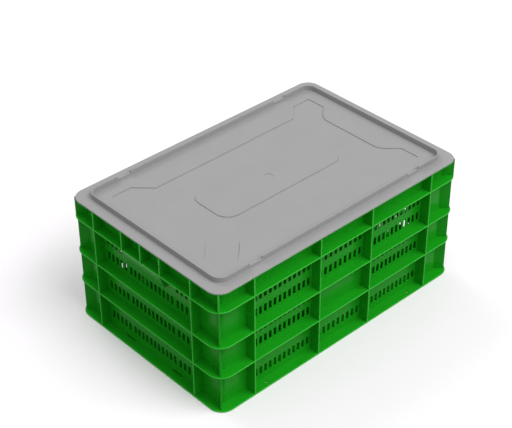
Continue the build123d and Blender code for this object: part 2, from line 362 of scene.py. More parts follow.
@dataclass(frozen=True)
class Polygon:
    """A closed outline through given corners, counter-clockwise, in millimetres."""

    corners: tuple[Point, ...]

    def points(self, grow: float = 0.0) -> list[Point]:
        """Outline pushed outwards with mitred corners.

        Args:
            grow: How far each edge moves outwards.

        Returns:
            One point for each corner.
        """
        made = []
        count = len(self.corners)
        for i, here in enumerate(self.corners):
            point = Vector(here)
            before = (point - Vector(self.corners[i - 1])).normalized()
            after = (Vector(self.corners[(i + 1) % count]) - point).normalized()
            out_before = Vector((before.y, -before.x))
            out_after = Vector((after.y, -after.x))
            mitre = (out_before + out_after).normalized()
            made.append(tuple(point + mitre * (grow / max(0.2, mitre.dot(out_before)))))
        return made

    def softened(self, radius: float, steps: int = 4) -> "Polygon":
        """The same outline with each corner rounded.

        Args:
            radius: Radius of the corners.
            steps: Segments in each corner.

        Returns:
            The rounded outline.
        """
        made: list[Point] = []
        count = len(self.corners)
        for i, here in enumerate(self.corners):
            point = Vector(here)
            back = (Vector(self.corners[i - 1]) - point).normalized()
            ahead = (Vector(self.corners[(i + 1) % count]) - point).normalized()
            half = back.angle(ahead) / 2
            reach = radius / math.tan(half)
            start, end = point + back * reach, point + ahead * reach
            for step in range(steps + 1):
                t = step / steps
                made.append(tuple(start * (1 - t) ** 2 + point * (2 * t * (1 - t)) + end * t**2))
        return Polygon(tuple(made))


def quarter_turn(steps: int) -> list[float]:
    """Angles of a quarter circle, both ends included."""
    return [math.pi / 2 * step / steps for step in range(steps + 1)]


def bend(radius: float, steps: int = 3) -> list[Point]:
    """Quarter bend, as pairs of a distance that falls from radius to zero and one that rises."""
    return [(radius * (1 - math.sin(a)), radius * (1 - math.cos(a))) for a in quarter_turn(steps)]


def edge_profile(low: float, high: float, edge: float, steps: int = 3) -> list[Point]:
    """Side of a plate with rounded edges, as (grow, height) pairs from bottom to top.

    Args:
        low: Bottom of the plate.
        high: Top of the plate.
        edge: Radius of both edges.
        steps: Segments in each rounding.

    Returns:
        The profile's points.
    """
    lower = [(-run, low + rise) for run, rise in bend(edge, steps)]
    return lower + [(-rise, high - run) for run, rise in bend(edge, steps)]


class Shell:
    """A closed mesh under construction, in millimetres."""

    def __init__(self) -> None:
        """Start empty."""
        self.mesh = bmesh.new()

    def ring(self, points: Sequence[Point], height: float) -> list[bmesh.types.BMVert]:
        """Add a level loop of vertices."""
        return [self.mesh.verts.new((x, y, height)) for x, y in points]

    def band(self, first: Sequence[bmesh.types.BMVert], second: Sequence[bmesh.types.BMVert]) -> None:
        """Join two loops of the same number of vertices with four-sided faces.

        Args:
            first: One loop.
            second: The other.
        """
        count = len(first)
        for i in range(count):
            j = (i + 1) % count
            self.mesh.faces.new((first[i], first[j], second[j], second[i]))

    def cap(self, outer: Sequence[bmesh.types.BMVert], *holes: Sequence[bmesh.types.BMVert]) -> None:
        """Fill the space inside one loop and outside the others.

        Args:
            outer: The outer loop.
            holes: The loops that stay open.
        """
        loops = [outer, *holes]
        flat = [vert for loop in loops for vert in loop]
        for corners in tessellate_polygon([[vert.co for vert in loop] for loop in loops]):
            chosen = [flat[i] for i in corners]
            if len({tuple(round(c, 5) for c in vert.co) for vert in chosen}) == 3:
                self.mesh.faces.new(chosen)

    def side(self, outline: RoundedBox | Polygon, profile: Iterable[Point]) -> tuple[list, list]:
        """Sweep a profile round an outline.

        Args:
            outline: The path.
            profile: (grow, height) pairs.

        Returns:
            The first and the last loop.
        """
        rings = [self.ring(outline.points(grow), height) for grow, height in profile]
        for first, second in zip(rings, rings[1:]):
            self.band(first, second)
        return rings[0], rings[-1]

    def hoop(self, outline: RoundedBox | Polygon, profile: Iterable[Point]) -> None:
        """Sweep a closed profile round an outline."""
        first, last = self.side(outline, profile)
        self.band(last, first)

    def wire(self, points: Sequence[Point]) -> None:
        """Add a closed wire at height zero, without doubles.

        Args:
            points: Its points, in order.
        """
        ring = self.ring(points, 0.0)
        for first, second in zip(ring, ring[1:] + ring[:1]):
            self.mesh.edges.new((first, second))
        bmesh.ops.remove_doubles(self.mesh, verts=self.mesh.verts, dist=WELD)

    def plate(
        self, outline: RoundedBox, low: float, high: float, edge: float, holes: Sequence[RoundedBox]
    ) -> None:
        """Add a level plate with a rounded outer edge.

        Args:
            outline: Its outer edge.
            low: Bottom face.
            high: Top face.
            edge: Radius along the outer edge.
            holes: Openings through it.
        """
        loops = [self.side(outline, edge_profile(low, high, edge))]
        loops += [self.side(hole, [(0.0, low), (0.0, high)]) for hole in holes]
        for level in zip(*loops):
            self.cap(*level)

    def cove(self, outline: RoundedBox, level: float, radius: float, sense: int) -> None:
        """Add a hollow fillet where a wall meets a shelf.

        Args:
            outline: The wall's outer face.
            level: Height of the shelf's face.
            radius: Radius of the fillet.
            sense: One if the fillet stands on the shelf, minus one if it hangs under it.
        """
        hollow = [(run, sense * rise) for run, rise in bend(radius, 4)]
        profile = [(radius, -sense * ROOT), *hollow, (-ROOT, sense * radius), (-ROOT, -sense * ROOT)]
        self.hoop(outline, [(grow, level + rise) for grow, rise in profile])

    def prism(self, outline: Polygon, low: float, high: float) -> None:
        """Add an upright prism."""
        first, last = self.side(outline, [(0.0, low), (0.0, high)])
        self.cap(first)
        self.cap(last)

    def to_mesh(self, name: str, weld: bool = True) -> bpy.types.Mesh:
        """Close the work.

        Args:
            name: Name of the mesh.
            weld: Whether doubles are merged and faces turned outwards.

        Returns:
            The mesh, in scene units and smooth.
        """
        if weld:
            bmesh.ops.remove_doubles(self.mesh, verts=self.mesh.verts, dist=WELD)
            bmesh.ops.recalc_face_normals(self.mesh, faces=self.mesh.faces)
        bmesh.ops.scale(self.mesh, vec=(MM, MM, MM), verts=self.mesh.verts)
        mesh = bpy.data.meshes.new(name)
        self.mesh.to_mesh(mesh)
        self.mesh.free()
        mesh.shade_smooth()
        return mesh


# --- repeats -------------------------------------------------------------------------


def geometry_tree(name: str, inputs: dict[str, str]) -> bpy.types.NodeTree:
    """Start a geometry tree with named inputs.

    Args:
        name: Name of the tree.
        inputs: Socket types by name, after the geometry itself.

    Returns:
        The tree, with its group input and output sockets declared.
    """
    tree = bpy.data.node_groups.new(name, "GeometryNodeTree")
    face = tree.interface
    face.new_socket("Geometry", in_out="INPUT", socket_type="NodeSocketGeometry")
    for label, kind in inputs.items():
        face.new_socket(label, in_out="INPUT", socket_type=kind)
    face.new_socket("Geometry", in_out="OUTPUT", socket_type="NodeSocketGeometry")
    return tree


def placed_copies(maker: NodeMaker, points: Any, piece: Any) -> bpy.types.NodeSocket:
    """Add the nodes that set an object on every point, turned by the point's own angle.

    Args:
        maker: The tree's maker.
        points: Socket of the points.
        piece: Socket of the object.

    Returns:
        Socket of the real copies.
    """
    turn = maker.add("GeometryNodeInputNamedAttribute", {"data_type": "FLOAT"}, {"Name": "turn"})
    angles = maker.add("ShaderNodeCombineXYZ", inputs={"Z": turn.outputs[0]})
    rotation = maker.add("FunctionNodeEulerToRotation", inputs={0: angles.outputs[0]})
    shape = maker.add("GeometryNodeObjectInfo", inputs={"Object": piece})
    copies = maker.add(
        "GeometryNodeInstanceOnPoints",
        inputs={
            "Points": points,
            "Instance": shape.outputs["Geometry"],
            "Rotation": rotation.outputs[0],
        },
    )
    return maker.add("GeometryNodeRealizeInstances", inputs={0: copies.outputs[0]}).outputs[0]


def dressed_output(maker: NodeMaker, geometry: Any, material: Any) -> None:
    """End a geometry tree with its material and its output."""
    dressed = maker.add("GeometryNodeSetMaterial", inputs={"Geometry": geometry, "Material": material})
    maker.add("NodeGroupOutput", inputs={0: dressed.outputs[0]})


def repeat_tree() -> bpy.types.NodeTree:
    """Build the tree that sets one piece on every point of the geometry.

    Returns:
        The tree.
    """
    inputs = {"Piece": "NodeSocketObject", "Material": "NodeSocketMaterial"}
    tree = geometry_tree("repeat_piece", inputs)
    maker = NodeMaker(tree)
    given = maker.add("NodeGroupInput")
    copies = placed_copies(maker, given.outputs["Geometry"], given.outputs["Piece"])
    dressed_output(maker, copies, given.outputs["Material"])
    return tree


def pierced_tree() -> bpy.types.NodeTree:
    """Build the tree that makes a flat panel, with one lined opening at every point.

    Returns:
        The tree.
    """
    inputs = dict.fromkeys(("Outline", "Opening", "Lining", "Border"), "NodeSocketObject")
    inputs |= {"Thickness": "NodeSocketFloat", "Material": "NodeSocketMaterial"}
    tree = geometry_tree("pierced_panel", inputs)
    maker = NodeMaker(tree)
    given = maker.add("NodeGroupInput")
    openings = placed_copies(maker, given.outputs["Geometry"], given.outputs["Opening"])
    linings = placed_copies(maker, given.outputs["Geometry"], given.outputs["Lining"])
    outline = maker.add("GeometryNodeObjectInfo", inputs={"Object": given.outputs["Outline"]})
    border = maker.add("GeometryNodeObjectInfo", inputs={"Object": given.outputs["Border"]})
    edges = maker.add("GeometryNodeJoinGeometry")
    for source in (outline.outputs["Geometry"], openings):
        tree.links.new(source, edges.inputs[0])
    curves = maker.add("GeometryNodeMeshToCurve", inputs={0: edges.outputs[0]})
    face = maker.add("GeometryNodeFillCurve", inputs={0: curves.outputs[0]})
    drop = maker.value(given, "Thickness") * -1.0
    offset = maker.add("ShaderNodeCombineXYZ", inputs={"Z": drop})
    lowered = maker.add(
        "GeometryNodeTransform", inputs={"Geometry": face.outputs[0], "Translation": offset.outputs[0]}
    )
    under = maker.add("GeometryNodeFlipFaces", inputs={0: lowered.outputs[0]})
    whole = maker.add("GeometryNodeJoinGeometry")
    for source in (face.outputs[0], under.outputs[0], linings, border.outputs["Geometry"]):
        tree.links.new(source, whole.inputs[0])
    welded = maker.add(
        "GeometryNodeMergeByDistance", inputs={"Geometry": whole.outputs[0], "Distance": SEAM * MM}
    )
    dressed_output(maker, welded.outputs[0], given.outputs["Material"])
    return tree


class Workshop:
    """Turns meshes and trees into finished pieces of the model."""

    def __init__(self) -> None:
        """Make the finishes and the geometry trees once."""
        self.materials = {finish.slot: finish.build() for finish in (GREEN_FINISH, GREY_FINISH)}
        self.repeat = repeat_tree()
        self.pierced = pierced_tree()

    def helper(self, name: str, mesh: bpy.types.Mesh) -> bpy.types.Object:
        """Hold a mesh in an object for a while."""
        made = bpy.data.objects.new(name, mesh)
        bpy.context.scene.collection.objects.link(made)
        return made

    def points(self, places: Sequence[Place]) -> bpy.types.Object:
        """Make loose points, each with a turn.

        Args:
            places: (x, y, z, turn) in millimetres and radians.

        Returns:
            The object that holds them.
        """
        mesh = bpy.data.meshes.new("places")
        mesh.from_pydata([(x * MM, y * MM, z * MM) for x, y, z, _ in places], [], [])
        turns = mesh.attributes.new("turn", "FLOAT", "POINT")
        turns.data.foreach_set("value", [place[3] for place in places])
        return self.helper("places", mesh)

    def grow(
        self, base: bpy.types.Object, tree: bpy.types.NodeTree, inputs: dict[str, Any]
    ) -> bpy.types.Mesh:
        """Run a geometry tree on an object and keep the result as a plain mesh.

        Args:
            base: Object whose mesh feeds the tree.
            tree: The tree.
            inputs: Values by input name.

        Returns:
            The plain mesh.
        """
        modifier = base.modifiers.new("grow", "NODES")
        modifier.node_group = tree
        for item in tree.interface.items_tree:
            if item.in_out == "INPUT" and item.name in inputs:
                modifier[item.identifier] = inputs[item.name]
        graph = bpy.context.evaluated_depsgraph_get()
        mesh = bpy.data.meshes.new_from_object(base.evaluated_get(graph), depsgraph=graph)
        base.modifiers.clear()
        if "turn" in mesh.attributes:
            mesh.attributes.remove(mesh.attributes["turn"])
        spent = [base] + [value for value in inputs.values() if isinstance(value, bpy.types.Object)]
        for item in spent:
            bpy.data.objects.remove(item)
        return mesh

    def repeated(self, shell: Shell, places: Sequence[Place]) -> bpy.types.Mesh:
        """Set one green shape at every place.

        Args:
            shell: The shape, about the origin.
            places: Where it goes, each with its turn about Z.

        Returns:
            The mesh of all the copies.
        """
        inputs = {
            "Piece": self.helper("shape", shell.to_mesh("shape")),
            "Material": self.materials[Plastic.GREEN],
        }
        return self.grow(self.points(places), self.repeat, inputs)

    def pierced_panel(
        self,
        outline: RoundedBox,
        opening: RoundedBox,
        places: Sequence[Point],
        thickness: float,
        edge: float,
    ) -> bpy.types.Mesh:
        """Make a flat green panel with repeated openings, its outer face at height zero.

        Args:
            outline: Edge of the panel.
            opening: One opening, about the origin.
            places: Centres of the openings.
            thickness: Thickness of the panel.
            edge: Radius of the openings' edges.

        Returns:
            The panel's mesh.
        """
        shells = {label: Shell() for label in ("Outline", "Opening", "Lining", "Border")}
        shells["Outline"].wire(outline.points())
        shells["Opening"].wire(opening.points(edge))
        lining = shells["Lining"]
        lining.side(opening, [(-grow, z) for grow, z in edge_profile(-thickness, 0.0, edge, steps=2)])
        bmesh.ops.reverse_faces(lining.mesh, faces=lining.mesh.faces)
        shells["Border"].side(outline, [(0.0, -thickness), (0.0, 0.0)])
        inputs = {"Thickness": thickness * MM, "Material": self.materials[Plastic.GREEN]}
        for label, shell in shells.items():
            inputs[label] = self.helper(label, shell.to_mesh(label, weld=False))
        return self.grow(self.points([(x, y, 0.0, 0.0) for x, y in places]), self.pierced, inputs)

    def even_normals(self, mesh: bpy.types.Mesh) -> bpy.types.Mesh:
        """Let large flat faces rule the shading beside their rounded edges.

        Args:
            mesh: The mesh.

        Returns:
            A mesh with its own normals.
        """
        mesh.shade_smooth()
        mesh.set_sharp_from_angle(angle=math.radians(SHARP_ANGLE))
        holder = self.helper("normals", mesh)
        weighted = holder.modifiers.new("weighted", "WEIGHTED_NORMAL")
        weighted.mode = "FACE_AREA"
        weighted.keep_sharp = True
        graph = bpy.context.evaluated_depsgraph_get()
        made = bpy.data.meshes.new_from_object(holder.evaluated_get(graph), depsgraph=graph)
        bpy.data.objects.remove(holder)
        return made

    def piece(self, name: str, mesh: bpy.types.Mesh, body: Body, nodes: Sequence[str]) -> None:
        """Finish one piece and attach it to its body.

        Args:
            name: Name of the piece.
            mesh: Its mesh, in place.
            body: The body it rides on.
            nodes: Model nodes that it stands for.
        """
        slot = body.plastic
        made = self.helper(name, self.even_normals(mesh))
        made.data.name = name
        made.data.materials.clear()
        made.data.materials.append(self.materials[slot])
        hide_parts(*nodes)
        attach(made, body.value)
        LOG.info("%s: %d faces for %s", name, len(made.data.polygons), ", ".join(nodes))


# --- the crate -----------------------------------------------------------------------


@dataclass
class CrateSizes:
    """Sizes that the crate's sub-assemblies share, in millimetres."""

    length: float = 600.0
    width: float = 400.0
    height: float = 257.0
    corner_radius: float = 28.0
    wall_inset: float = 21.0
    wall_thickness: float = 2.5
    wall_radius: float = 10.0
    post_leg: float = 14.0
    shelf_thickness: float = 3.0
    lower_shelf: float = 78.2
    middle_shelf: float = 144.6
    upper_shelf: float = 220.1
    rim_setback: float = 3.2
    rib_thickness: float = 3.2

    @property
    def wall_x(self) -> float:
        """Outer face of the end walls."""
        return self.length / 2 - self.wall_inset

    @property
    def wall_y(self) -> float:
        """Outer face of the long walls."""
        return self.width / 2 - self.wall_inset

    @property
    def post_x(self) -> float:
        """Where the long walls end and the corners begin."""
        return self.wall_x - self.wall_radius - self.post_leg

    @property
    def post_y(self) -> float:
        """Where the end walls end and the corners begin."""
        return self.wall_y - self.wall_radius - self.post_leg

    @property
    def inner_radius(self) -> float:
        """Corner radius inside the walls."""
        return self.wall_radius - self.wall_thickness

    @property
    def wall_outline(self) -> RoundedBox:
        """Outer face of the walls, seen from above."""
        return RoundedBox(2 * self.wall_x, 2 * self.wall_y, self.wall_radius)

    def wall_face(self, side: Side) -> float:
        """Distance from the middle of the crate to a wall's outer face."""
        return self.wall_y if side.along_x else self.wall_x

    def shelf_outline(self, setback: float = 0.0) -> RoundedBox:
        """Edge of a shelf, seen from above."""
        return RoundedBox(
            self.length - 2 * setback, self.width - 2 * setback, self.corner_radius - setback
        )

    def corner_places(self, turn: float = 0.0) -> list[Place]:
        """Centres of the walls' corner arcs, turned by one quarter more from each to the next."""
        x, y = self.wall_x - self.wall_radius, self.wall_y - self.wall_radius
        turns = [math.pi / 2 * quarter + turn for quarter in range(4)]
        return [(sx * x, sy * y, 0.0, angle) for (sx, sy), angle in zip(QUARTERS, turns)]


SIZES = CrateSizes()


def row_of(count: int, pitch: float, centre: float) -> list[float]:
    """Centres of an evenly spaced row."""
    return [centre + (i - (count - 1) / 2) * pitch for i in range(count)]


def corner_nodes(kind: str) -> list[str]:
    """Names of the four nodes of one kind in the corners."""
    return [f"{kind}_{y}_{x}" for y in ("front", "back") for x in ("left", "right")]


@dataclass
class Assembly:
    """A part of the model, built in the workshop from sizes that it shares with the others."""

    sizes: CrateSizes
    shop: Workshop


@dataclass
class SlottedWalls(Assembly):
    """Four walls pierced by upright slots, and the moulded corners between them."""

    slot_width: float = 6.2
    slot_height: float = 17.4
    slot_radius: float = 0.9
    slot_edge: float = 0.35
    above_base: float = 16.0
    above_shelf: float = 5.6
    lower_spacing: float = 40.5
    middle_spacing: float = 30.6
    upper_spacing: float = 33.6
    side_bay: tuple[int, float, float] = (13, 11.4, 141.5)
    middle_bay: tuple[int, float, float] = (10, 12.35, 0.0)
    end_side: tuple[int, float, float] = (5, 12.0, 94.5)
    end_middle: tuple[int, float, float] = (11, 11.1, 0.0)

    def _rows(self) -> tuple[list[float], list[float], list[float]]:
        """Work out where the slot rows start.

        Returns:
            Lower edges of the rows in the lower, middle and upper band.
        """
        half = self.sizes.shelf_thickness / 2
        middle = self.sizes.lower_shelf + half + self.above_shelf
        upper = self.sizes.middle_shelf + half + self.above_shelf
        return (
            [self.above_base, self.above_base + self.lower_spacing],
            [middle, middle + self.middle_spacing],
            [upper, upper + self.upper_spacing],
        )

    def _slots(self, long_side: bool) -> list[Point]:
        """Place a wall's slots.

        Args:
            long_side: Whether the wall is one of the long ones.

        Returns:
            Their centres, along the wall and up.
        """
        lower, middle, upper = self._rows()
        outer, inner = (
            (self.side_bay, self.middle_bay) if long_side else (self.end_side, self.end_middle)
        )
        count, pitch, offset = outer
        wide = row_of(count, pitch, offset) + row_of(count, pitch, -offset)
        narrow = row_of(*inner)
        inner_rows = lower + upper if long_side else lower + middle + upper[:1]
        made = [(x, z) for z in lower + middle + upper for x in wide]
        made += [(x, z) for z in inner_rows for x in narrow]
        return [(x, z + self.slot_height / 2) for x, z in made]

    def _wall(self, side: Side) -> None:
        """Build one wall panel.

        Args:
            side: The wall's side.
        """
        sizes = self.sizes
        half = sizes.post_x if side.along_x else sizes.post_y
        mesh = self.shop.pierced_panel(
            RoundedBox(2 * half, sizes.height, 0.0, (0.0, sizes.height / 2), steps=1),
            RoundedBox(self.slot_width, self.slot_height, self.slot_radius, steps=2),
            self._slots(side.along_x),
            sizes.wall_thickness,
            self.slot_edge,
        )
        upright = Euler((math.pi / 2, 0, math.pi)).to_matrix().to_4x4()
        stood = Matrix.Translation((0, sizes.wall_face(side) * MM, 0)) @ upright
        mesh.transform(Matrix.Rotation(side.value, 4, "Z") @ stood)
        self.shop.piece("wall_panel_" + side.label, mesh, Body.CRATE, ["wall_" + side.label])

    def _corners(self) -> None:
        """Build the four rounded corners."""
        sizes = self.sizes
        leg, radius, inner = sizes.post_leg, sizes.wall_radius, sizes.inner_radius
        outer_arc, inner_arc = (
            [(reach * math.cos(a), reach * math.sin(a)) for a in quarter_turn(8)]
            for reach in (radius, inner)
        )
        outline = [(radius, -leg), *outer_arc, (-leg, radius), (-leg, inner)]
        outline += [*reversed(inner_arc), (inner, -leg)]
        shell = Shell()
        shell.prism(Polygon(tuple(outline)), 0.0, sizes.height)
        mesh = self.shop.repeated(shell, sizes.corner_places())
        self.shop.piece("wall_corners", mesh, Body.CRATE, corner_nodes("corner_post"))

    def build(self) -> None:
        """Build the walls and their corners."""
        for side in Side:
            self._wall(side)
        self._corners()


@dataclass
class Shelves(Assembly):
    """The level rings round the walls, from the base to the rim."""

    edge: float = 1.1
    cove: float = 0.25
    base_thickness: float = 3.0
    rim_thickness: float = 3.0
    drain_diameter: float = 5.0
    drain_place: Point = (184.0, 190.0)
    base_slot: Point = (3.0, 26.5)
    base_slot_radius: float = 1.0
    base_slot_place: Point = (282.5, 65.7)

    def _ring(
        self, low: float, high: float, setback: float = 0.0, holes: Sequence[RoundedBox] = ()
    ) -> Shell:
        """Make a ring with rounded edges and a fillet along the wall.

        Args:
            low: Bottom face.
            high: Top face.
            setback: How far its edge stays inside the crate's outline.
            holes: Openings through it.

        Returns:
            The ring.
        """
        wall = self.sizes.wall_outline
        shell = Shell()
        shell.plate(self.sizes.shelf_outline(setback), low, high, self.edge, [wall, *holes])
        if high < self.sizes.height:
            shell.cove(wall, high, self.cove, 1)
        if low > 0:
            shell.cove(wall, low, self.cove, -1)
        return shell

    def _base_holes(self) -> list[RoundedBox]:
        """Make the drains and the slots of the base, one of each near every corner.

        Returns:
            The openings.
        """
        size = self.drain_diameter
        drain = (size, size, size / 2, self.drain_place, 5)
        cut = (*self.base_slot, self.base_slot_radius, self.base_slot_place, 3)
        return [
            RoundedBox(length, width, radius, (sx * place[0], sy * place[1]), steps)
            for length, width, radius, place, steps in (drain, cut)
            for sx in (-1, 1)
            for sy in (-1, 1)
        ]

    def build(self) -> None:
        """Build the base ring, the three shelves and the rim."""
        sizes = self.sizes
        half = sizes.shelf_thickness / 2
        rim_low = sizes.height - self.rim_thickness
        rings = {"base_ring": self._ring(0.0, self.base_thickness, holes=self._base_holes())}
        for label, level in (
            ("lower", sizes.lower_shelf),
            ("middle", sizes.middle_shelf),
            ("upper", sizes.upper_shelf),
        ):
            rings["shelf_" + label] = self._ring(level - half, level + half)
        rings["rim_ring"] = self._ring(rim_low, sizes.height, sizes.rim_setback)
        for node, shell in rings.items():
            self.shop.piece("moulded_" + node, shell.to_mesh(node), Body.CRATE, [node])


@dataclass
class Ribs(Assembly):
    """Upright ribs between the shelves."""

    long_places: tuple[float, ...] = (-219.0, -64.0, 64.0, 219.0)
    end_places: tuple[float, ...] = (-130.0, 130.0)
    short_places: tuple[float, ...] = (-51.0, 0.0, 51.0)
    edge: float = 1.1
    cove: float = 0.3
    root: float = 0.2
    corner_setback: float = 2.5
    shy: float = 0.05

    def _outline(self, reach: float) -> Polygon:
        """Draw the plan of a rib that stands out along +Y from a wall at zero.

        Args:
            reach: How far it stands out.

        Returns:
            The plan.
        """
        half = self.sizes.rib_thickness / 2
        right = [(half + self.cove, -self.root)]
        right += [(half + run, rise) for run, rise in bend(self.cove, 5)]
        right += [(half - rise, reach - run) for run, rise in bend(self.edge)]
        return Polygon(tuple(right + [(-x, y) for x, y in reversed(right)]))

    def _row(self, side: Side, kind: str, offsets: Sequence[float], low: float) -> None:
        """Build the ribs of one kind on one wall.

        Args:
            side: The wall's side.
            kind: What the ribs' nodes are called.
            offsets: Places along the wall.
            low: Lower end of the ribs.
        """
        sizes = self.sizes
        shell = Shell()
        shell.prism(self._outline(sizes.wall_inset - self.shy), low, sizes.height - self.shy)
        turned = Matrix.Rotation(side.value, 3, "Z")
        feet = [turned @ Vector((offset, sizes.wall_face(side), 0.0)) for offset in offsets]
        mesh = self.shop.repeated(shell, [(*foot, side.value) for foot in feet])
        nodes = [f"{kind}_{side.label}_{i + 1}" for i in range(len(offsets))]
        self.shop.piece(f"{kind}s_{side.label}", mesh, Body.CRATE, nodes)

    def _corner_ribs(self) -> None:
        """Build the four diagonal ribs."""
        sizes = self.sizes
        wall_centre = sizes.wall_x - sizes.wall_radius
        apart = (sizes.length / 2 - sizes.corner_radius - wall_centre) / math.sqrt(0.5)
        full = apart + sizes.corner_radius - sizes.wall_radius - self.shy
        shell = Shell()
        shell.prism(self._outline(full - self.corner_setback), self.shy, sizes.upper_shelf)
        shell.prism(self._outline(full), sizes.upper_shelf, sizes.height - self.shy)
        bmesh.ops.translate(shell.mesh, vec=(0, sizes.wall_radius, 0), verts=shell.mesh.verts)
        mesh = self.shop.repeated(shell, sizes.corner_places(-math.pi / 4))
        self.shop.piece("corner_ribs", mesh, Body.CRATE, corner_nodes("corner_rib"))

    def build(self) -> None:
        """Build the ribs of each side and of the corners."""
        for side in Side:
            offsets = self.long_places if side.along_x else self.end_places
            self._row(side, "rib", offsets, self.shy)
            if not side.along_x:
                self._row(side, "short_rib", self.short_places, self.sizes.upper_shelf)
        self._corner_ribs()


@dataclass
class HandHold(Assembly):
    """The hood over the hand-hold on each end, open underneath."""

    height: float = 28.6
    taper: float = 10.0
    thickness: float = 2.5
    half_width: float = 50.0
    corner: float = 2.5
    least_corner: float = 0.3
    edge: float = 0.7
    root: float = 0.3
    shy: float = 0.1

    def _section(self, reach: float, level: float, shell: Shell, inset: float = 0.0) -> list:
        """Add one level loop: two cheeks and a face, standing out along +Y.

        Args:
            reach: How far the face stands out.
            level: Height of the loop.
            shell: What it is added to.
            inset: How far the loop shrinks into the material.

        Returns:
            The loop.
        """
        half, wall, depth = self.half_width - inset, self.thickness - 2 * inset, reach - inset
        outer = [(half - rise, depth - run) for run, rise in bend(self.corner, 5)]
        inner = [
            (half - wall - rise, depth - wall - run)
            for run, rise in bend(max(self.least_corner, self.corner - wall))
        ]
        right = [(half, -self.root), *outer]
        left = [(-x, y) for x, y in reversed(right)]
        back = [(-half + wall, -self.root), *[(-x, y) for x, y in inner]]
        forth = [*reversed(inner), (half - wall, -self.root)]
        return shell.ring(right + left + back + forth, level)

    def build(self) -> None:
        """Build both hoods."""
        sizes = self.sizes
        top = sizes.upper_shelf
        shelf_face = top - sizes.shelf_thickness / 2
        bottom = shelf_face - self.height
        slope = self.taper / self.height
        out = sizes.wall_inset - self.shy
        for side in (Side.LEFT, Side.RIGHT):
            shell = Shell()
            rings = []
            for inset, rise in bend(self.edge):
                level = bottom + rise
                rings.append(self._section(out - slope * (shelf_face - level), level, shell, inset))
            rings += [self._section(out, level, shell) for level in (shelf_face, top)]
            for first, second in zip(rings, rings[1:]):
                shell.band(first, second)
            shell.cap(rings[0])
            shell.cap(rings[-1])
            mesh = shell.to_mesh("hood")
            lift = Matrix.Translation((0, sizes.wall_x * MM, 0))
            mesh.transform(Matrix.Rotation(side.value, 4, "Z") @ lift)
            nodes = ["hood_face_" + side.label] + [f"hood_cheek_{side.label}_{i}" for i in (1, 2)]
            self.shop.piece("hand_hold_" + side.label, mesh, Body.CRATE, nodes)


@dataclass
class FloorGrid(Assembly):
    """The slotted floor of the crate."""

    level: float = 11.5
    thickness: float = 3.0
    slot: Point = (32.0, 6.0)
    pitch: Point = (42.0, 15.0)
    counts: tuple[int, int] = (12, 22)
    edge: float = 0.4

    def build(self) -> None:
        """Build the floor."""
        length, width = (
            2 * (face - self.sizes.wall_thickness) for face in (self.sizes.wall_x, self.sizes.wall_y)
        )
        columns, rows = (row_of(count, pitch, 0.0) for count, pitch in zip(self.counts, self.pitch))
        mesh = self.shop.pierced_panel(
            RoundedBox(length, width, self.sizes.inner_radius),
            RoundedBox(*self.slot, self.slot[1] / 2, steps=3),
            [(x, y) for x in columns for y in rows],
            self.thickness,
            self.edge,
        )
        mesh.transform(Matrix.Translation((0, 0, (self.level + self.thickness) * MM)))
        self.shop.piece("slotted_floor", mesh, Body.CRATE, ["floor_grid"])


# --- the lid -------------------------------------------------------------------------


